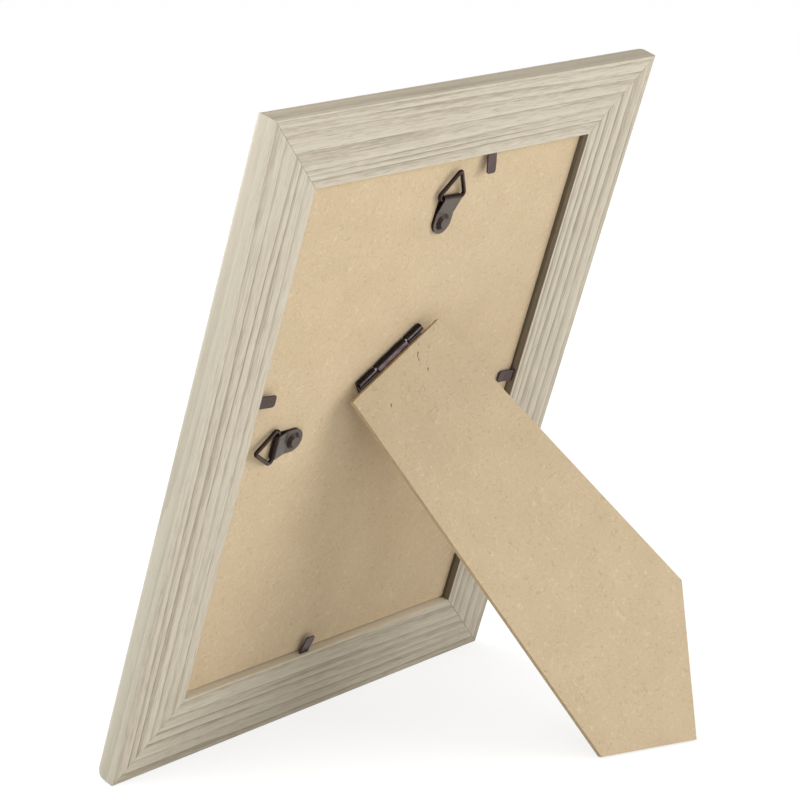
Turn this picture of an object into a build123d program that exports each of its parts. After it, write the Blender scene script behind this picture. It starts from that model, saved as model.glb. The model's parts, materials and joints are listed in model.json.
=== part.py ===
from build123d import *
import os
from math import cos, radians, sin, tan

# An easel back photo frame for a 13 x 18 cm picture, standing in portrait on its open strut.
# It is drawn on its own back: x to the right as seen from behind, y up along the back and z out
# of the back, from the middle of the lower back edge. It is then leaned back onto the table, so
# that the lower back edge and the strut's foot rest on z = 0. Lengths are in millimetres.

# Picture stack, from the glass to the backing board
picture_width = 130.0
picture_height = 180.0
glass_thickness = 2.0
insert_thickness = 0.3
board_thickness = 2.5
sheet_gap = 0.05
board_recess = 2.8

# Moulding
rebate_clearance = 0.5
rail_land = 25.0
lip_width = 5.0
lip_thickness = 2.3
edge_round = 5.5
sight_bevel = 1.2
arris_round = 0.3
mitre_gap = 0.08

# V-nails across the mitres
nail_inset = 15.0
nail_leg = 6.0
nail_thickness = 0.4
nail_height = 5.0
nail_sink = 1.5
nail_clearance = 0.02

# How the frame stands
portrait_lean = 18.7
landscape_lean = 14.5

# Strut hinge
hinge_right = -6.25
hinge_rise = 22.2
hinge_slant = 35.4
hinge_length = 29.0
mid_knuckle_length = 13.4
mid_knuckle_shift = 0.4
knuckle_gap = 0.8
knuckle_ease = 0.9
knuckle_ease_depth = 0.15
notch_clearance = 0.2
pin_diameter = 1.3
pin_clearance = 0.05
pin_recess = 0.8
barrel_clearance = 0.1
leaf_thickness = 0.65
leaf_length = 15.0
leaf_corner = 2.0
roll_seam = 0.2
prong_spread = 18.0
prong_drop = 9.0
prong_width = 3.0
prong_length = 2.0
prong_clearance = 0.03

# Strut
strut_thickness = 2.5
strut_top_width = 39.9
strut_shift = -0.7
strut_edge_gap = 0.15
strut_taper = 4.5
strut_opening = 41.8

# Hangers
hanger_inset = 22.5
top_hanger_right = 2.5
top_hanger_tilt = 2.0
side_hanger_rise = -0.5
strap_width = 8.2
strap_thickness = 0.5
strap_ramp = 5.4
ring_distance = 8.4
ring_wire = 1.4
ring_clearance = 0.05
ring_side_play = 0.2
ring_base_round = 1.4
ring_apex_round = 0.75
ring_base_angle = 55.5
ring_tilt = 6.0
rivet_head_diameter = 5.8
rivet_head_height = 0.9
rivet_crown_diameter = 3.2
rivet_shank_diameter = 2.6
rivet_tail_diameter = 4.4
rivet_tail_height = 0.5
rivet_clearance = 0.05

# Flexible tabs: where each stands from the middle of its rail, how it lifts and how it curls
top_tab_right = 17.7
bottom_tab_right = -8.4
left_tab_rise = 17.9
right_tab_rise = 0.3
tab_lifts = {"top": 15.0, "bottom": 12.0, "left": 10.0, "right": -14.0}
tab_curls = {"top": 4.0, "bottom": 4.0, "left": 4.0, "right": -14.0}
tab_width = 4.2
tab_thickness = 0.4
tab_root_length = 3.4
tab_tip_length = 3.2
tab_tip_round = 1.0
tab_curl_radius = 1.5
tab_lift_off = 1.5
tab_embed = 9.0
tab_point = 2.5
tab_bend_offset = 0.7
tab_bend_gap = 0.06
tab_clearance = 0.04

# One overrun for every cut that passes through a face
overrun = 1.0

# Sizes that follow
opening_width = picture_width + 2 * rebate_clearance
opening_height = picture_height + 2 * rebate_clearance
frame_width = opening_width + 2 * rail_land
frame_height = opening_height + 2 * rail_land
board_front = board_recess + board_thickness
insert_front = board_front + sheet_gap + insert_thickness
rebate_depth = insert_front + sheet_gap + glass_thickness
rail_depth = rebate_depth + lip_thickness
rail_width = rail_land + lip_width
barrel_bore = pin_diameter / 2 + pin_clearance
barrel_radius = barrel_bore + leaf_thickness
leaf_seat = barrel_radius + barrel_clearance
loop_bore = ring_wire / 2 + ring_clearance
loop_radius = loop_bore + strap_thickness
tab_level = tab_lift_off - board_recess


def settle(lean):
    """How far a sharp lower back edge would reach under the rounded one at this lean."""
    return arris_round * (cos(radians(lean)) + sin(radians(lean)) - 1)


def meet(first, second):
    """Point where two lines a * x + b * y = c cross."""
    a, b, c = first
    d, e, f = second
    area = a * e - b * d
    return ((c * e - b * f) / area, (a * f - c * d) / area)


def turned(plane, angles):
    """A plane turned about its own axes, its origin kept."""
    return Plane(plane.location * Rotation(*angles))


# The strut's plane on the back: x along the hinge pin, y up the strut, z out of its outer face
slant = radians(hinge_slant)
hinge_centre = Vector(hinge_right, frame_height / 2 + hinge_rise, leaf_seat - board_recess)
folded_plane = Plane(hinge_centre, x_dir=(cos(slant), sin(slant), 0), z_dir=(0, 0, 1))
open_plane = turned(folded_plane, (-strut_opening, 0, 0))
strut_inner_face = open_plane.offset(leaf_seat)


def ground_cut(edge, normal, lean):
    """Line that the ground under a leaning edge cuts on the strut's inner face."""
    face = strut_inner_face
    level = settle(lean) + (Vector(edge) - face.origin).dot(normal)
    return (face.x_dir.dot(normal), face.y_dir.dot(normal), level)


# The foot's two edges lie on the table, one in portrait and one in landscape
lean = radians(portrait_lean)
side_lean = radians(landscape_lean)
portrait_cut = ground_cut((0, 0, 0), Vector(0, cos(lean), -sin(lean)), portrait_lean)
landscape_cut = ground_cut(
    (frame_width / 2, 0, 0), Vector(-cos(side_lean), 0, -sin(side_lean)), landscape_lean
)
strut_drop = barrel_radius + strut_edge_gap
side_slope = tan(radians(strut_taper))
side_start = strut_top_width / 2 - strut_drop * side_slope
foot_left = meet((1, -side_slope, strut_shift - side_start), portrait_cut)
foot_tip = meet(portrait_cut, landscape_cut)
foot_right = meet((1, side_slope, strut_shift + side_start), landscape_cut)

# The table point under the middle of the standing frame is the origin
front_round_depth = rail_depth - edge_round
front_reach = edge_round * sin(lean) - front_round_depth * cos(lean) - edge_round
strut_outer_face = strut_inner_face.offset(strut_thickness)
foot = (foot_left, foot_tip, foot_right)
foot_points = [strut_outer_face.from_local_coords(Vector(*p)) for p in foot]
rear_reach = max(p.Y * sin(lean) + p.Z * cos(lean) for p in foot_points)
standing = Location(
    Plane(
        origin=(0, -(front_reach + rear_reach) / 2, -settle(portrait_lean)),
        x_dir=(-1, 0, 0),
        z_dir=(0, cos(lean), -sin(lean)),
    )
)


def stood(plane):
    """A plane given on the back, as it lies on the standing frame."""
    return Plane(standing * plane.location)


centre = stood(Plane((0, frame_height / 2, 0)))
hinge_plane = stood(folded_plane)
strut_plane = stood(open_plane)

# Each rail: its length, the middle of its outer back edge and its direction, on the back
rails = {
    "top": (frame_width, (0, frame_height), (-1, 0)),
    "bottom": (frame_width, (0, 0), (1, 0)),
    "left": (frame_height, (-frame_width / 2, frame_height / 2), (0, -1)),
    "right": (frame_height, (frame_width / 2, frame_height / 2), (0, 1)),
}


def rail_plane(side, along=0, inward=0, out=0):
    """Plane on a rail: x along it, y towards the picture, z out of the back."""
    length, middle, direction = rails[side]
    base = stood(Plane((*middle, 0), x_dir=(*direction, 0), z_dir=(0, 0, 1)))
    return Plane(base.from_local_coords(Vector(along, inward, out)), base.x_dir, base.z_dir)


def section_plane(plane):
    """Plane square to a rail's plane: x towards the picture, y out of the back."""
    return Plane(plane.origin, x_dir=plane.y_dir, z_dir=plane.x_dir)


def corner_plane(side):
    """Plane at the outer corner where a rail starts."""
    return rail_plane(side, along=-rails[side][0] / 2)


# Each tab's place along its rail's own direction
tab_places = {
    "top": -top_tab_right,
    "bottom": bottom_tab_right,
    "left": -left_tab_rise,
    "right": right_tab_rise,
}


def nail_outline(grow=0):
    """L of one V-nail seen from behind, its bend towards the picture."""
    far = nail_inset + grow
    near = nail_inset - nail_thickness - grow
    end = nail_inset - nail_leg - grow
    Polygon((far, far), (end, far), (end, near), (near, near), (near, end), (far, end), align=None)


def anchor_outline(end, grow=0):
    """Pointed end of a tab seen from behind, from its point in the rail to `end` past the rebate."""
    half = tab_width / 2 + grow
    shoulder = tab_point - tab_embed
    point = -tab_embed - grow
    Polygon((-half, end), (half, end), (half, shoulder), (0, point), (-half, shoulder), align=None)


def save(piece, name):
    piece.part.label = name
    export_step(piece.part, f"parts/{name}.step")


def make_rail(side):
    length = rails[side][0]
    with BuildPart() as rail:
        with BuildSketch(section_plane(rail_plane(side))) as profile:
            with BuildLine():
                Polyline(
                    (edge_round, -rail_depth),
                    (rail_width - sight_bevel, -rail_depth),
                    (rail_width, sight_bevel - rail_depth),
                    (rail_width, -rebate_depth),
                    (rail_land, -rebate_depth),
                    (rail_land, 0),
                    (0, 0),
                    (0, -front_round_depth),
                )
                RadiusArc((0, -front_round_depth), (edge_round, -rail_depth), -edge_round)
            make_face()
            fillet(profile.vertices().group_by(Axis.Y)[-1], arris_round)
        extrude(amount=length / 2, both=True)
        # Mitres, half the glue line short of the corner's diagonal
        for end in (-1, 1):
            corner = rail_plane(side, along=end * length / 2)
            mitre = Plane(corner.origin, z_dir=corner.x_dir * end + corner.y_dir)
            split(bisect_by=mitre.offset(-mitre_gap / 2), keep=Keep.BOTTOM)
        # Pockets of the V-nails at both corners
        for corner_side in rails:
            with BuildSketch(corner_plane(corner_side).offset(-nail_sink - nail_height - nail_clearance)):
                nail_outline(nail_clearance)
            extrude(amount=nail_height + 2 * nail_clearance, mode=Mode.SUBTRACT)
        # Slot of the flexible tab in the rebate's wall
        slot = rail_plane(side, tab_places[side], rail_land, tab_level - tab_thickness / 2 - tab_clearance)
        with BuildSketch(slot):
            anchor_outline(overrun, tab_clearance)
        extrude(amount=tab_thickness + 2 * tab_clearance, mode=Mode.SUBTRACT)
    return rail


def make_nails():
    with BuildPart() as nails:
        for side in rails:
            with BuildSketch(corner_plane(side).offset(-nail_sink - nail_height)):
                nail_outline()
            extrude(amount=nail_height)
    return nails


def make_sheet(front, thickness):
    """One flat sheet of the picture stack, its front this far below the back of the rails."""
    with BuildPart() as sheet:
        with BuildSketch(centre.offset(-front)):
            Rectangle(picture_width, picture_height)
        extrude(amount=thickness)
    return sheet


# Each hanger: the rivet's place from the middle of the back, and the direction of its ring
hangers = {
    "top": ((top_hanger_right, opening_height / 2 - hanger_inset), 90 - top_hanger_tilt),
    "side": ((hanger_inset - opening_width / 2, side_hanger_rise), 180),
}


def hanger_plane(side):
    """Plane on the board at a hanger's rivet: x towards the ring, z out of the back."""
    place, direction = hangers[side]
    surface = centre.offset(-board_recess)
    rivet = surface.from_local_coords(Vector(*place))
    return turned(Plane(rivet, surface.x_dir, surface.z_dir), (0, 0, direction))


def make_board():
    with BuildPart() as board:
        with BuildSketch(centre.offset(-board_front)):
            Rectangle(picture_width, picture_height)
        extrude(amount=board_thickness)
        # Rivet holes, counterbored on the picture side for the spread tails
        for side in hangers:
            with BuildSketch(hanger_plane(side)):
                Circle(rivet_shank_diameter / 2 + rivet_clearance)
            extrude(amount=-board_thickness, mode=Mode.SUBTRACT)
            with BuildSketch(hanger_plane(side).offset(-board_thickness)):
                Circle(rivet_tail_diameter / 2 + rivet_clearance)
            extrude(amount=rivet_tail_height, mode=Mode.SUBTRACT)
        # Blind pockets of the hinge's prongs
        with BuildSketch(hinge_plane.offset(-leaf_seat)):
            prong_outlines(prong_clearance)
        extrude(amount=-prong_length - prong_clearance, mode=Mode.SUBTRACT)
    return board


def prong_outlines(grow=0):
    """Sections of a leaf's two prongs, on the plane of the leaf."""
    with Locations(*[(end * prong_spread / 2, -prong_drop - leaf_thickness / 2) for end in (-1, 1)]):
        Rectangle(prong_width + 2 * grow, leaf_thickness + 2 * grow)


def make_hinge_leaf(plane, side, tips, gaps):
    """Rolled leaf on one side of the pin: -1 on the board, 1 on the strut.

    `tips` lists its knuckles' ends next to the other leaf's, each with the way into its own knuckle,
    and `gaps` lists where along the pin the other leaf's knuckles pass.
    """
    with BuildPart() as leaf:
        with BuildSketch(Plane(plane.origin, x_dir=-plane.y_dir, z_dir=-plane.x_dir)):
            Circle(barrel_radius)
            with Locations((leaf_length / 2, side * (leaf_seat - leaf_thickness / 2))):
                Rectangle(leaf_length, leaf_thickness)
            Circle(barrel_bore, mode=Mode.SUBTRACT)
            # The roll stops short of the leaf, which leaves the seam
            with Locations((barrel_radius / 2, side * (leaf_seat - leaf_thickness - roll_seam / 2))):
                Rectangle(barrel_radius, roll_seam, mode=Mode.SUBTRACT)
        extrude(amount=hinge_length / 2, both=True)
        far_corners = leaf.edges().filter_by(Axis(plane.origin, plane.z_dir))
        fillet(far_corners.group_by(Axis(plane.origin, plane.y_dir))[0], leaf_corner)
        # Notches for the other leaf's knuckles
        notch_drop = barrel_radius + notch_clearance
        notch_height = notch_drop + barrel_radius + overrun
        with BuildSketch(plane):
            for start, end in gaps:
                with Locations(((start + end) / 2, notch_height / 2 - notch_drop)):
                    Rectangle(end - start, notch_height)
        extrude(amount=leaf_seat + overrun, both=True, mode=Mode.SUBTRACT)
        # The roll narrows a little towards the next knuckle
        with BuildSketch(Plane(plane.origin, x_dir=plane.x_dir, z_dir=-plane.y_dir)):
            for tip, inward in tips:
                Polygon(
                    (tip, barrel_radius - knuckle_ease_depth),
                    (tip + inward * knuckle_ease, barrel_radius),
                    (tip + inward * knuckle_ease, barrel_radius + overrun),
                    (tip, barrel_radius + overrun),
                    align=None,
                )
        revolve(axis=Axis(plane.origin, -plane.x_dir), revolution_arc=180, mode=Mode.SUBTRACT)
        # Prongs bent out of the leaf, and the windows they leave
        outer_face = plane.offset(side * leaf_seat)
        with BuildSketch(outer_face):
            with Locations(*[(end * prong_spread / 2, prong_length / 2 - prong_drop) for end in (-1, 1)]):
                Rectangle(prong_width, prong_length)
        extrude(amount=-side * leaf_thickness, mode=Mode.SUBTRACT)
        with BuildSketch(outer_face.offset(-side * leaf_thickness)):
            prong_outlines()
        extrude(amount=side * (leaf_thickness + prong_length))
    return leaf


def make_pin():
    with BuildPart() as pin:
        with BuildSketch(Plane(hinge_plane.origin, x_dir=hinge_plane.y_dir, z_dir=hinge_plane.x_dir)):
            Circle(pin_diameter / 2)
        extrude(amount=hinge_length / 2 - pin_recess, both=True)
    return pin


def make_strut():
    with BuildPart() as strut:
        with BuildSketch(strut_plane.offset(leaf_seat)):
            with BuildLine():
                Polyline(
                    (strut_shift - strut_top_width / 2, -strut_drop),
                    foot_left,
                    foot_tip,
                    foot_right,
                    (strut_shift + strut_top_width / 2, -strut_drop),
                    close=True,
                )
            make_face()
        extrude(amount=strut_thickness)
        with BuildSketch(strut_plane.offset(leaf_seat)):
            prong_outlines(prong_clearance)
        extrude(amount=prong_length + prong_clearance, mode=Mode.SUBTRACT)
    return strut


def make_strap(side):
    """Strip folded round the ring's base, with both ends under the rivet's head."""
    plane = hanger_plane(side)
    end = -strap_width / 2
    ramp = ring_distance - strap_ramp
    with BuildPart() as strap:
        with BuildSketch(Plane(plane.origin, x_dir=plane.x_dir, z_dir=-plane.y_dir)):
            with BuildLine():
                Polyline(
                    (ring_distance, 0),
                    (end, 0),
                    (end, 2 * strap_thickness),
                    (ramp, 2 * strap_thickness),
                    (ring_distance, 2 * loop_radius),
                )
                RadiusArc((ring_distance, 2 * loop_radius), (ring_distance, 0), loop_radius)
            make_face()
            with BuildLine():
                Polyline(
                    (ring_distance, strap_thickness),
                    (ramp, strap_thickness),
                    (ring_distance, 2 * loop_radius - strap_thickness),
                    close=True,
                )
            make_face(mode=Mode.SUBTRACT)
            with Locations((ring_distance, loop_radius)):
                Circle(loop_bore, mode=Mode.SUBTRACT)
        extrude(amount=strap_width / 2, both=True)
        # Round end about the rivet
        with BuildSketch(plane):
            Circle(strap_width / 2)
            with Locations(((ring_distance + loop_radius + overrun) / 2, 0)):
                Rectangle(ring_distance + loop_radius + overrun, strap_width)
            Circle(rivet_shank_diameter / 2 + rivet_clearance, mode=Mode.SUBTRACT)
        extrude(amount=2 * loop_radius, mode=Mode.INTERSECT)
    return strap


def ring_plane(side):
    """Plane of a ring about its base wire: y towards the apex, which stands a little off the board."""
    plane = hanger_plane(side)
    base = plane.from_local_coords(Vector(ring_distance, 0, loop_radius))
    return turned(Plane(base, x_dir=-plane.y_dir, z_dir=plane.z_dir), (ring_tilt, 0, 0))


def make_ring(side):
    plane = ring_plane(side)
    base_angle = radians(ring_base_angle)
    half_base = strap_width / 2 + ring_side_play + ring_base_round / tan(base_angle / 2)
    with BuildPart() as ring:
        with BuildSketch(plane, mode=Mode.PRIVATE) as outline:
            Polygon((-half_base, 0), (half_base, 0), (0, half_base * tan(base_angle)), align=None)
            fillet(outline.vertices().group_by(Axis.Y)[0], ring_base_round)
            fillet(outline.vertices().group_by(Axis.Y)[-1], ring_apex_round)
        path = outline.sketch.face().outer_wire()
        with BuildSketch(Plane(path @ 0, z_dir=path % 0)):
            Circle(ring_wire / 2)
        sweep(path=path)
    return ring


def make_rivet(side):
    plane = hanger_plane(side)
    head_level = 2 * strap_thickness
    head_radius = rivet_head_diameter / 2
    shank_radius = rivet_shank_diameter / 2
    tail_radius = rivet_tail_diameter / 2
    tail_top = rivet_tail_height - board_thickness
    crown_level = head_level + rivet_head_height
    with BuildPart() as rivet:
        with BuildSketch(Plane(plane.origin, x_dir=plane.x_dir, z_dir=-plane.y_dir)):
            with BuildLine():
                Polyline(
                    (0, crown_level),
                    (0, -board_thickness),
                    (tail_radius, -board_thickness),
                    (tail_radius, tail_top),
                    (shank_radius, tail_top),
                    (shank_radius, head_level),
                    (head_radius, head_level),
                    (rivet_crown_diameter / 2, crown_level),
                    close=True,
                )
            make_face()
        revolve(axis=Axis(plane.origin, plane.z_dir))
    return rivet


def make_anchor(side):
    """The part of a tab that is driven into the rail, up to the bend."""
    end = tab_bend_offset - tab_thickness / 2 - tab_bend_gap
    with BuildPart() as anchor:
        with BuildSketch(rail_plane(side, tab_places[side], rail_land, tab_level - tab_thickness / 2)):
            anchor_outline(end)
        extrude(amount=tab_thickness)
    return anchor


def make_tab_leaf(side):
    """The free part of a tab, lifted off the board and curled a little towards its tip."""
    bend = rail_plane(side, tab_places[side], rail_land + tab_bend_offset, tab_level)
    lift = radians(tab_lifts[side])
    tip = lift - radians(tab_curls[side])
    knee = Vector(tab_root_length * cos(lift), tab_root_length * sin(lift))
    end = knee + Vector(tab_tip_length * cos(tip), tab_tip_length * sin(tip))
    with BuildPart() as leaf:
        with BuildSketch(section_plane(bend)):
            with BuildLine():
                FilletPolyline((0, 0), knee, end, radius=tab_curl_radius)
            trace(line_width=tab_thickness)
            Circle(tab_thickness / 2)
        extrude(amount=tab_width / 2, both=True)
        # Rounded tip, seen from behind
        reach = end.X - tab_thickness / 2
        with BuildSketch(bend) as plan:
            with Locations((0, (reach - tab_thickness) / 2)):
                Rectangle(tab_width, reach + tab_thickness)
            fillet(plan.vertices().group_by(Axis.Y)[-1], tab_tip_round)
        extrude(amount=tab_root_length + tab_tip_length, both=True, mode=Mode.INTERSECT)
    return leaf


os.makedirs("parts", exist_ok=True)

for side in rails:
    save(make_rail(side), f"rail_{side}")
save(make_nails(), "corner_v_nails")

save(make_sheet(rebate_depth, glass_thickness), "glass_pane")
save(make_sheet(insert_front, insert_thickness), "photo_insert")
save(make_board(), "backing_board")

# The middle knuckle is the strut's, the two end ones are the board's
mid_start = mid_knuckle_shift - mid_knuckle_length / 2
mid_end = mid_knuckle_shift + mid_knuckle_length / 2
barrel_end = hinge_length / 2
mid_tips = [(mid_start, 1), (mid_end, -1)]
end_tips = [(mid_start - knuckle_gap, -1), (mid_end + knuckle_gap, 1)]
mid_space = (mid_start - knuckle_gap, mid_end + knuckle_gap)
end_spaces = [(-barrel_end - overrun, mid_start), (mid_end, barrel_end + overrun)]
save(make_hinge_leaf(hinge_plane, -1, end_tips, [mid_space]), "hinge_board_leaf")
save(make_hinge_leaf(strut_plane, 1, mid_tips, end_spaces), "hinge_strut_leaf")
save(make_pin(), "hinge_pin")
save(make_strut(), "strut")

for side in hangers:
    save(make_strap(side), f"hanger_strap_{side}")
    save(make_ring(side), f"hanger_ring_{side}")
    save(make_rivet(side), f"hanger_rivet_{side}")

for side in rails:
    save(make_anchor(side), f"tab_anchor_{side}")
    save(make_tab_leaf(side), f"tab_leaf_{side}")
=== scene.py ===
import json
import math

import bmesh
import bpy
from mathutils import Matrix, Vector


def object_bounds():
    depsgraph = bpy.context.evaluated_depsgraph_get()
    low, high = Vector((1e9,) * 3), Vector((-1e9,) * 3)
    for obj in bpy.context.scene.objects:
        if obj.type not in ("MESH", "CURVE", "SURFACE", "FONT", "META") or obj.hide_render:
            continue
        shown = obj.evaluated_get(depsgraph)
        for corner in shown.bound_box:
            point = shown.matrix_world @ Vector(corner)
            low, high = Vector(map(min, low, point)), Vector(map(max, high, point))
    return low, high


# The looks of an easel back photo frame: its finishes, the floor, the light and the camera.
# Places are in metres, and the patterns of the finishes are sized in millimetres. Tints are
# screen colours, from 0 to 255.

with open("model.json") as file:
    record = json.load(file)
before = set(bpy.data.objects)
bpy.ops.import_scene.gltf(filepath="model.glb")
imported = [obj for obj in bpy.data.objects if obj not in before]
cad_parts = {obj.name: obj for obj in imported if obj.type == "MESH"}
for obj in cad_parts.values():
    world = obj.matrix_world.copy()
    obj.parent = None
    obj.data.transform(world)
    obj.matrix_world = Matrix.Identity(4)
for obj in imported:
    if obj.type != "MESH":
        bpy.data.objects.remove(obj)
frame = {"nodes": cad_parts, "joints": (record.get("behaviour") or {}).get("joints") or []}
cad_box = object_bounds()
nodes = frame["nodes"]
joints = {joint["name"]: joint for joint in frame["joints"]}


def axis(joint):
    return Vector(joints[joint]["axis"])


# Directions on the leaning back, as seen from behind
right = axis("bottom_tab_bend")
up = axis("right_tab_bend")
out = right.cross(up)

# Directions on the open strut: along the hinge pin, up the strut and out of its outer face
pin = axis("strut_fold")
opening = math.radians(joints["strut_fold"]["range_deg"][1])
strut_out = Matrix.Rotation(-opening, 3, pin) @ out
strut_up = strut_out.cross(pin)

PER_METRE = 1000
SIDES = ("top", "bottom", "left", "right")

# How far the back of the rails lies along `out`, in millimetres: a little above the tabs' bends
TAB_DEPTH = 1.3
back_level = Vector(joints["top_tab_bend"]["pos_m"]).dot(out) * PER_METRE + TAB_DEPTH


def linear(value):
    """One channel of a tint as linear light."""
    share = value / 255
    return share / 12.92 if share <= 0.04045 else ((share + 0.055) / 1.055) ** 2.4


def colour(tint):
    return [linear(value) for value in tint] + [1.0]


class Finish:
    """A node material, with short ways to add and link its nodes."""

    def __init__(self, name):
        self.material = bpy.data.materials.new(name)
        self.material.use_nodes = True
        self.tree = self.material.node_tree
        self.surface = self.tree.nodes["Principled BSDF"]

    def put(self, socket, value):
        if isinstance(value, bpy.types.NodeSocket):
            self.tree.links.new(value, socket)
        else:
            socket.default_value = value

    def add(self, kind, inputs=None, **settings):
        node = self.tree.nodes.new("ShaderNode" + kind)
        for name, value in settings.items():
            setattr(node, name, value)
        for name, value in (inputs or {}).items():
            self.put(node.inputs[name], value)
        return node

    def set(self, **inputs):
        """Sets or links the surface's own sockets, named with _ for each space."""
        for name, value in inputs.items():
            self.put(self.surface.inputs[name.replace("_", " ")], value)

    def show(self, shader):
        """Puts another shader in the place of the plain surface."""
        self.put(self.tree.nodes["Material Output"].inputs["Surface"], shader)

    def place(self, directions, shift=(0, 0, 0)):
        """Place on the piece in millimetres, along three directions."""
        inputs = {
            "Vector": self.add("TexCoord").outputs["Object"],
            "Scale": (PER_METRE,) * 3,
            "Rotation": Matrix(directions).to_euler(),
            "Location": shift,
        }
        return self.add("Mapping", inputs).outputs["Vector"]

    def move(self, place, shift=(0, 0, 0), turn=0.0):
        """A place turned about its third direction, in radians, or shifted."""
        inputs = {"Vector": place, "Location": shift, "Rotation": (0, 0, turn)}
        return self.add("Mapping", inputs).outputs["Vector"]

    def split(self, place):
        return self.add("SeparateXYZ", {"Vector": place}).outputs

    def facing(self, direction):
        """How squarely the surface faces a direction of the piece, from -1 to 1."""
        normal = self.add("TexCoord").outputs["Normal"]
        inputs = {0: normal, 1: direction}
        return self.add("VectorMath", inputs, operation="DOT_PRODUCT").outputs["Value"]

    def sum(self, operation, *values):
        node = self.add("Math", operation=operation)
        for socket, value in zip(node.inputs, values):
            self.put(socket, value)
        return node.outputs["Value"]

    def noise(self, place, size, detail=2.0, roughness=0.5, distortion=0.0):
        """Noise from 0 to 1, whose marks have about this size in millimetres."""
        inputs = {"Vector": place, "Scale": [1 / length for length in size]}
        stretched = self.add("Mapping", inputs).outputs["Vector"]
        inputs = {
            "Vector": stretched,
            "Scale": 1.0,
            "Detail": detail,
            "Roughness": roughness,
            "Distortion": distortion,
        }
        return self.add("TexNoise", inputs).outputs["Fac"]

    def spread(self, factor, low, high, bottom=0.0, top=1.0):
        """A factor stretched from one range to another, and held there."""
        inputs = {
            "Value": factor,
            "From Min": low,
            "From Max": high,
            "To Min": bottom,
            "To Max": top,
        }
        return self.add("MapRange", inputs, interpolation_type="SMOOTHSTEP").outputs["Result"]

    def ramp(self, factor, stops):
        """Colours along a factor, from stops that each have a position and a tint."""
        node = self.add("ValToRGB", {"Fac": factor})
        elements = node.color_ramp.elements
        for element, (position, tint) in zip(elements, (stops[0], stops[-1])):
            element.position = position
            element.color = colour(tint)
        for position, tint in stops[1:-1]:
            elements.new(position).color = colour(tint)
        return node.outputs["Color"]

    def mix(self, factor, first, second):
        node = self.add("Mix", data_type="RGBA")
        inputs = [socket for socket in node.inputs if socket.type == "RGBA"]
        self.put(node.inputs[0], factor)
        self.put(inputs[0], first)
        self.put(inputs[1], second)
        return next(socket for socket in node.outputs if socket.type == "RGBA")

    def stain(self, factor, ground, tint):
        """A ground with a tint over it, as strong as the factor."""
        return self.mix(factor, ground, colour(tint))

    def bump(self, height, depth):
        """Normal of a surface whose height runs over this depth in millimetres."""
        inputs = {"Height": height, "Distance": depth / PER_METRE, "Strength": 1.0}
        return self.add("Bump", inputs).outputs["Normal"]


# Washed oak: its tints from the palest wood to the darkest lines, and its pores
OAK_STOPS = (
    (0.0, (208, 200, 181)),
    (0.3, (198, 188, 169)),
    (0.6, (178, 167, 146)),
    (1.0, (148, 136, 114)),
)
OAK_PORE = (146, 134, 113)
OAK_RELIEF = 0.05

# How the growth lines lean through the rail, how late each one darkens, and the narrow ones' share
LINE_LEAN = 0.7
LINE_CURVE = 1.6
NARROW_SHARE = 0.16

# The painted light and shade on the rebate's wall ends this far below the back, over a short fade, in
# millimetres
WALL_DEPTH = 7.0
WALL_FADE = 0.5
# How strongly the painted wall tint and the painted tint of the rail's outward side show
WALL_SHADING_STRENGTH = 0.75
EDGE_SHADING_STRENGTH = 0.6


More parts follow.
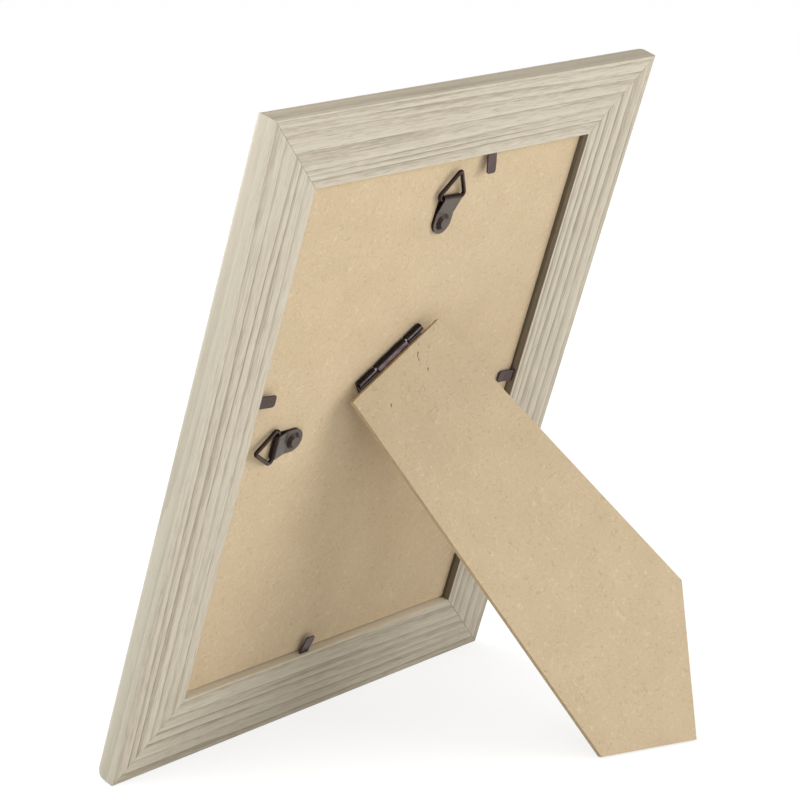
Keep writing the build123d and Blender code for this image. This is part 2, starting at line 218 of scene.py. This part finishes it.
def wood_film(side, along, across, inward, wall, edge, shift):
    """Pale washed oak: growth lines that darken slowly and break off, with fibres and pores.

    The wall tint is painted over the rebate's wall, which faces `inward`, and the edge tint over the
    rail's outward side: painted shade where they are darker than the film, painted light where they are
    paler.
    """
    finish = Finish(f"wood_film_{side}")
    place = finish.place((along, across, along.cross(across)), shift)
    apart = finish.split(place)
    depth = finish.sum("MULTIPLY_ADD", apart["Z"], LINE_LEAN, apart["Y"])
    ripple = finish.spread(finish.noise(place, (60, 3, 3)), 0.25, 0.75, -0.3, 0.3)
    wavy = finish.sum("ADD", depth, ripple)

    def growth(spacing, wander, size):
        drift = finish.noise(place, size, roughness=0.45)
        sway = finish.spread(drift, 0.2, 0.8, -wander, wander)
        return finish.sum("FRACT", finish.sum("MULTIPLY_ADD", wavy, 1 / spacing, sway))

    broad = growth(spacing=4.6, wander=1.3, size=(700, 13, 13))
    narrow = growth(spacing=1.6, wander=1.6, size=(300, 7, 7))
    patches = finish.noise(place, (120, 7, 7), detail=1)
    streaks = finish.noise(place, (45, 1.1, 1.1))
    fibres = finish.noise(place, (8, 0.48, 0.48), detail=3, roughness=0.65)
    pores = finish.noise(place, (6, 0.3, 0.34), detail=1)

    lines = finish.sum("POWER", broad, LINE_CURVE)
    weight = finish.spread(patches, 0.3, 0.7, 0.4, 0.85)
    grain = finish.sum("MULTIPLY_ADD", lines, weight, finish.sum("MULTIPLY", narrow, NARROW_SHARE))
    streaked = finish.sum("ADD", grain, finish.spread(streaks, 0.3, 0.7, -0.1, 0.1))
    fibrous = finish.sum("ADD", streaked, finish.spread(fibres, 0.25, 0.75, -0.24, 0.24))
    film = finish.ramp(fibrous, OAK_STOPS)
    film = finish.stain(finish.spread(pores, 0.6, 0.72, 0, 0.45), film, OAK_PORE)

    # Painted light and shade: the wall tint over the rebate's wall above the lip, and the edge tint over
    # the rail's outward side
    level = finish.split(finish.place((right, up, out), (0, 0, -back_level)))["Z"]
    above_lip = finish.spread(level, -WALL_DEPTH, WALL_FADE - WALL_DEPTH)
    squarely = finish.facing(inward)
    wall_shading_mask = finish.spread(squarely, 0.5, 0.9, 0, WALL_SHADING_STRENGTH)
    edge_shading_mask = finish.spread(squarely, -0.9, -0.5, EDGE_SHADING_STRENGTH, 0)
    film = finish.stain(finish.sum("MULTIPLY", wall_shading_mask, above_lip), film, wall)
    finish.set(
        Base_Color=finish.stain(edge_shading_mask, film, edge),
        Roughness=finish.spread(fibres, 0.3, 0.7, 0.62, 0.5),
        Specular_IOR_Level=0.35,
        Normal=finish.bump(finish.sum("SUBTRACT", fibres, grain), OAK_RELIEF),
    )
    return finish.material


# Fibreboard: its sheet, the layers on its cut edges, and what lies in it
BOARD_STOPS = ((0.3, (206, 185, 152)), (0.7, (212, 191, 158)))
CUT_STOPS = ((0.35, (178, 154, 116)), (0.65, (212, 189, 151)))
CUT_STRENGTH = 0.6
BOARD_GRIT = (186, 162, 126)
BOARD_FLECK = (126, 99, 66)
BOARD_RELIEF = 0.05
FLECK_TURN = math.radians(24)

# Its curled fibres: how wide they curl and how far their pattern is shifted, tint and strength
BOARD_HAIRS = (
    (3.2, 11, (232, 216, 186), 0.34),
    (4.6, 37, (230, 213, 182), 0.3),
    (2.8, 71, (166, 141, 104), 0.34),
    (4.0, 103, (172, 147, 110), 0.3),
)
HAIR_CORE = 0.004
HAIR_RIM = 0.026

# Scratches on it: from the dark core to the rim, the fade at both ends, and how far they stray
MARK_TINT = (88, 62, 36)
MARK_STRENGTH = 0.75
MARK_CORE = 0.08
MARK_RIM = 0.3
MARK_FADE = 0.3
MARK_STRAY = 0.5


def fibreboard(name, along, across, shift, marks=()):
    """Bare fibreboard: an even ground with faint curled fibres, coarser on its cut edges.

    `marks` lists the two ends of each dark scratch on the sheet, along and across it.
    """
    finish = Finish(name)
    sheet_out = along.cross(across)
    place = finish.place((along, across, sheet_out), shift)
    cloud = finish.noise(place, (14, 14, 14), detail=3)
    grit = finish.noise(place, (0.8, 0.8, 0.8), detail=4, roughness=0.7)
    ground = finish.ramp(cloud, BOARD_STOPS)
    ground = finish.stain(finish.spread(grit, 0.35, 0.65, 0.2, 0), ground, BOARD_GRIT)
    for size, move, tint, strength in BOARD_HAIRS:
        moved = finish.move(place, (move,) * 3)
        field = finish.noise(moved, (size,) * 3, detail=1, distortion=0.8)
        ridge = finish.sum("ABSOLUTE", finish.sum("SUBTRACT", field, 0.5))
        patch = finish.spread(finish.noise(moved, (size / 2,) * 3, detail=1), 0.5, 0.62)
        hair = finish.sum("MULTIPLY", finish.spread(ridge, HAIR_CORE, HAIR_RIM, strength, 0), patch)
        ground = finish.stain(hair, ground, tint)
    flecks = finish.noise(finish.move(place, turn=FLECK_TURN), (1.1, 0.5, 1.1), detail=1)
    ground = finish.stain(finish.spread(flecks, 0.75, 0.81, 0, 0.5), ground, BOARD_FLECK)
    for start, end in marks:
        run = Vector(end) - Vector(start)
        half = run.length / 2
        from_start = finish.move(place, (-start[0], -start[1], 0))
        along_mark = finish.move(from_start, turn=-math.atan2(run.y, run.x))
        apart = finish.split(along_mark)
        stray = finish.noise(along_mark, (1.5, 1.5, 1.5))
        crooked = finish.spread(stray, 0.2, 0.8, -MARK_STRAY, MARK_STRAY)
        aside = finish.sum("ABSOLUTE", finish.sum("ADD", apart["Y"], crooked))
        middle = finish.sum("ABSOLUTE", finish.sum("SUBTRACT", apart["X"], half))
        ends = finish.spread(middle, half - MARK_FADE, half + MARK_FADE, MARK_STRENGTH, 0)
        mark = finish.sum("MULTIPLY", finish.spread(aside, MARK_CORE, MARK_RIM, 1, 0), ends)
        ground = finish.stain(mark, ground, MARK_TINT)
    squarely = finish.sum("ABSOLUTE", finish.facing(sheet_out))
    cut = finish.spread(squarely, 0.4, 0.7, CUT_STRENGTH, 0)
    layers = finish.noise(place, (2.2, 2.2, 0.3), detail=3)
    fuzz = finish.noise(place, (0.35, 0.35, 0.35), detail=3, roughness=0.7)
    finish.set(
        Base_Color=finish.mix(cut, ground, finish.ramp(layers, CUT_STOPS)),
        Roughness=finish.spread(cloud, 0.3, 0.7, 0.86, 0.76),
        Specular_IOR_Level=0.25,
        Normal=finish.bump(fuzz, BOARD_RELIEF),
    )
    return finish.material


# Bronze lacquer: its scuffs and how they run, and its relief
SCUFF_TINT = (126, 112, 102)
SCUFF_TURN = math.radians(35)
LACQUER_RELIEF = 0.01


def bronzed_steel(name, dark, light, roughness, highlight_way, highlight_reach):
    """Dark bronze-lacquered thin steel, a little uneven, with a painted highlight where it faces the
    given way.

    The reach is how squarely a surface has to face that way before the painted highlight shows.
    """
    finish = Finish(name)
    place = finish.place((right, up, out))
    cloud = finish.noise(place, (2.4, 2.4, 2.4), detail=3)
    scuffs = finish.noise(finish.move(place, turn=SCUFF_TURN), (1.6, 0.12, 0.4))
    # Painted highlight: paler where the surface faces the given way, mottled by the cloud
    highlight_mask = finish.spread(finish.facing(highlight_way), highlight_reach, 1.0)
    highlight_share = finish.sum("MULTIPLY", highlight_mask, finish.spread(cloud, 0.25, 0.75, 0.75, 1.0))
    lacquer_and_highlight = finish.mix(highlight_share, colour(dark), colour(light))
    finish.set(
        Base_Color=finish.stain(finish.spread(scuffs, 0.6, 0.74, 0, 0.3), lacquer_and_highlight, SCUFF_TINT),
        Metallic=0.85,
        Roughness=finish.spread(cloud, 0.3, 0.7, roughness - 0.06, roughness + 0.08),
        Normal=finish.bump(cloud, LACQUER_RELIEF),
    )
    return finish.material


WIRE_STOPS = ((0.3, (150, 147, 143)), (0.7, (188, 186, 182)))


def plain_steel():
    """Bright drawn wire, brushed along its length."""
    finish = Finish("plain_steel")
    place = finish.place((pin, strut_up, strut_out))
    drawn = finish.noise(place, (6, 0.1, 0.1))
    finish.set(
        Base_Color=finish.ramp(drawn, WIRE_STOPS),
        Metallic=1.0,
        Roughness=finish.spread(drawn, 0.3, 0.7, 0.3, 0.42),
    )
    return finish.material


GLASS_TINT = (246, 250, 248)
GLASS_WAVE = 0.004


def clear_glass():
    """Float glass that lets the light through to the paper."""
    finish = Finish("clear_glass")
    place = finish.place((right, up, out))
    wave = finish.noise(place, (60, 60, 60), detail=1)
    finish.set(
        Base_Color=colour(GLASS_TINT),
        Roughness=0.0,
        IOR=1.5,
        Transmission_Weight=1.0,
        Normal=finish.bump(wave, GLASS_WAVE),
    )
    shadow = finish.add("LightPath").outputs["Is Shadow Ray"]
    through = finish.add("BsdfTransparent", {"Color": colour(GLASS_TINT)}).outputs["BSDF"]
    inputs = {0: shadow, 1: finish.surface.outputs["BSDF"], 2: through}
    finish.show(finish.add("MixShader", inputs).outputs["Shader"])
    return finish.material


PAPER_STOPS = ((0.3, (236, 234, 228)), (0.7, (244, 243, 239)))
PAPER_TOOTH = (222, 219, 211)
PAPER_RELIEF = 0.012


def plain_paper():
    """A blank white sheet with a faint tooth."""
    finish = Finish("plain_paper")
    place = finish.place((right, up, out))
    tooth = finish.noise(place, (0.4, 0.4, 0.4), detail=4, roughness=0.65)
    sheet = finish.ramp(finish.noise(place, (9, 9, 9), detail=3), PAPER_STOPS)
    finish.set(
        Base_Color=finish.stain(finish.spread(tooth, 0.4, 0.75, 0, 0.18), sheet, PAPER_TOOTH),
        Roughness=0.85,
        Specular_IOR_Level=0.3,
        Normal=finish.bump(tooth, PAPER_RELIEF),
    )
    return finish.material


def dress(names, material):
    for name in names:
        mesh = nodes[name].data
        mesh.materials.clear()
        mesh.materials.append(material)


# Each rail's grain runs along it, from another part of the same wood. The walls of the side rails'
# rebates carry painted shade and those of the top and bottom painted light; the top rail's outward side
# carries painted shade, the left rail's painted light, and the others a tint near the film's own
WALL_PAINTED_LIGHT = (226, 214, 191)
WALL_PAINTED_SHADE = (92, 77, 55)
EDGE_PLAIN = (196, 187, 168)
EDGE_PAINTED_SHADE = (150, 138, 117)
EDGE_PAINTED_LIGHT = (211, 204, 184)
dress(["rail_top"], wood_film("top", right, up, -up, WALL_PAINTED_LIGHT, EDGE_PAINTED_SHADE, (0, 0, 0)))
dress(["rail_bottom"], wood_film("bottom", right, up, up, WALL_PAINTED_LIGHT, EDGE_PLAIN, (310, 57, 23)))
dress(["rail_left"], wood_film("left", up, -right, right, WALL_PAINTED_SHADE, EDGE_PAINTED_LIGHT, (620, 131, 71)))
dress(["rail_right"], wood_film("right", up, -right, -right, WALL_PAINTED_SHADE, EDGE_PLAIN, (930, 211, 113)))

# The strut's marks are placed in millimetres from the middle of its hinge
STRUT_MARKS = (
    ((6.7, -4.4), (5.4, -7.0)),
    ((5.9, -10.4), (5.7, -11.2)),
    ((-11.4, -10.4), (-11.6, -11.4)),
)
to_hinge = Vector(joints["strut_fold"]["pos_m"]) * -PER_METRE
hinge_shift = [to_hinge.dot(direction) for direction in (pin, strut_up, strut_out)]
dress(["backing_board"], fibreboard("board_fibre", right, up, (0, 0, 0)))
dress(["strut"], fibreboard("strut_fibre", pin, strut_up, hinge_shift, STRUT_MARKS))

# The way along right, up and out that the painted highlight along the hinge's barrel faces
BARREL_HIGHLIGHT = (-0.27, 0.37, 0.89)
barrel_highlight_way = (BARREL_HIGHLIGHT[0] * right + BARREL_HIGHLIGHT[1] * up + BARREL_HIGHLIGHT[2] * out).normalized()
# Each hardware finish carries a painted highlight on the faces turned to its given way
hanger_steel = bronzed_steel(
    "bronzed_steel", dark=(42, 33, 30), light=(106, 95, 85), roughness=0.32, highlight_way=out, highlight_reach=0.86
)
ring_steel = bronzed_steel(
    "ring_steel", dark=(44, 31, 26), light=(82, 64, 54), roughness=0.3, highlight_way=out, highlight_reach=0.8
)
hinge_steel = bronzed_steel(
    "hinge_steel", dark=(34, 25, 26), light=(124, 107, 109), roughness=0.26, highlight_way=barrel_highlight_way, highlight_reach=0.9
)
tab_steel = bronzed_steel(
    "tab_steel", dark=(62, 51, 50), light=(92, 78, 76), roughness=0.42, highlight_way=out, highlight_reach=0.7
)
for hanger in ("top", "side"):
    dress([f"hanger_strap_{hanger}", f"hanger_rivet_{hanger}"], hanger_steel)
    dress([f"hanger_ring_{hanger}"], ring_steel)
for side in SIDES:
    dress([f"tab_anchor_{side}", f"tab_leaf_{side}"], tab_steel)
dress(["hinge_board_leaf", "hinge_strut_leaf"], hinge_steel)
dress(["hinge_pin", "corner_v_nails"], plain_steel())
dress(["glass_pane"], clear_glass())
dress(["photo_insert"], plain_paper())


def seen_rays(tree):
    """1 for rays from the camera, mirrors and glass, else 0."""
    path = tree.nodes.new("ShaderNodeLightPath")
    total = path.outputs["Is Camera Ray"]
    for name in ("Is Glossy Ray", "Is Transmission Ray"):
        join = tree.nodes.new("ShaderNodeMath")
        join.operation = "MAXIMUM"
        tree.links.new(total, join.inputs[0])
        tree.links.new(path.outputs[name], join.inputs[1])
        total = join.outputs["Value"]
    return total


# World: plain white where it is seen. Its own light is softer, and weaker from the camera's side
AMBIENT_FAR = 0.3
AMBIENT_NEAR = 0.0
CAMERA_SIDE = (0.85, 0.5, 0.15)
FADE_START = -0.2
FADE_END = 0.6
world = bpy.data.worlds.new("studio")
world.use_nodes = True
bpy.context.scene.world = world
sky = world.node_tree
background = sky.nodes["Background"]
background.inputs["Color"].default_value = (1, 1, 1, 1)
toward = sky.nodes.new("ShaderNodeVectorMath")
toward.operation = "DOT_PRODUCT"
toward.inputs[1].default_value = CAMERA_SIDE
sky.links.new(sky.nodes.new("ShaderNodeTexCoord").outputs["Generated"], toward.inputs[0])
ambient = sky.nodes.new("ShaderNodeMapRange")
ambient.inputs["From Min"].default_value = FADE_START
ambient.inputs["From Max"].default_value = FADE_END
ambient.inputs["To Min"].default_value = AMBIENT_FAR
ambient.inputs["To Max"].default_value = AMBIENT_NEAR
sky.links.new(toward.outputs["Value"], ambient.inputs["Value"])
level = sky.nodes.new("ShaderNodeMapRange")
sky.links.new(seen_rays(sky), level.inputs["Value"])
sky.links.new(ambient.outputs["Result"], level.inputs["To Min"])
level.inputs["To Max"].default_value = 1.0
sky.links.new(level.outputs["Result"], background.inputs["Strength"])

# Floor: white where it is seen, with the object's soft shadow, and grey in the light it gives back
FLOOR_REACH = 6.0
FLOOR_GLOW = 0.8
FLOOR_WHITE = (0.95, 0.95, 0.95, 1)
FLOOR_GREY = (0.55, 0.55, 0.55, 1)
shape = bmesh.new()
bmesh.ops.create_grid(shape, x_segments=1, y_segments=1, size=FLOOR_REACH)
floor_mesh = bpy.data.meshes.new("floor")
shape.to_mesh(floor_mesh)
shape.free()
floor = bpy.data.objects.new("floor", floor_mesh)
stage = bpy.data.collections.new("stage")
bpy.context.scene.collection.children.link(stage)
stage.objects.link(floor)
paint = Finish("floor_paint")
seen = seen_rays(paint.tree)
paint.set(
    Base_Color=paint.mix(seen, FLOOR_GREY, FLOOR_WHITE),
    Roughness=0.9,
    Specular_IOR_Level=0.0,
)
glow = paint.add("Emission", {"Color": (1, 1, 1, 1), "Strength": 1.0}).outputs["Emission"]
share = paint.sum("MULTIPLY", seen, FLOOR_GLOW)
inputs = {0: share, 1: paint.surface.outputs["BSDF"], 2: glow}
paint.show(paint.add("MixShader", inputs).outputs["Shader"])
floor_mesh.materials.append(paint.material)


def softbox(name, place, size, power):
    """A square lamp at a place right, up and out from the middle of the frame, looking at it."""
    middle = (cad_box[0] + cad_box[1]) / 2
    lamp = bpy.data.lights.new(name, "AREA")
    lamp.shape = "SQUARE"
    lamp.size = size
    lamp.energy = power
    holder = bpy.data.objects.new(name, lamp)
    bpy.context.scene.collection.objects.link(holder)
    way = right * place[0] + up * place[1] + out * place[2]
    holder.location = middle + way
    holder.rotation_mode = "QUATERNION"
    holder.rotation_quaternion = way.to_track_quat("Z", "Y")
    holder.visible_camera = False


softbox("key", place=(0.6, 0.74, 0.92), size=0.9, power=8.6)
softbox("fill", place=(-0.5, 0.62, 0.92), size=0.8, power=3.4)
softbox("side", place=(-0.5, 0.56, -0.26), size=0.35, power=4.3)
softbox("front", place=(0.3, -0.12, -1.1), size=0.7, power=5.5)

# A lamp for the floor alone, so that it is evenly white and has a soft shadow
FLOOR_LIGHT = 2.6
FLOOR_LIGHT_ANGLE = math.radians(70)
floor_lamp = bpy.data.lights.new("floor_lamp", "SUN")
floor_lamp.energy = FLOOR_LIGHT
floor_lamp.angle = FLOOR_LIGHT_ANGLE
floor_sun = bpy.data.objects.new("floor_lamp", floor_lamp)
bpy.context.scene.collection.objects.link(floor_sun)
floor_sun.light_linking.receiver_collection = stage

# Camera, at the photograph's place and with its field of view
CAMERA_PLACE = Vector((0.65997, 0.55425, 0.34148))
CAMERA_LOOK = Vector((-0.73394, -0.63081, -0.25182))
SENSOR = 36.0
LENS = 126.83
camera_data = bpy.data.cameras.new("camera")
camera_data.sensor_width = SENSOR
camera_data.lens = LENS
camera = bpy.data.objects.new("camera", camera_data)
bpy.context.scene.collection.objects.link(camera)
camera.location = CAMERA_PLACE
camera.rotation_mode = "QUATERNION"
camera.rotation_quaternion = CAMERA_LOOK.to_track_quat("-Z", "Y")
bpy.context.scene.camera = camera

bpy.context.scene.view_settings.view_transform = "Standard"
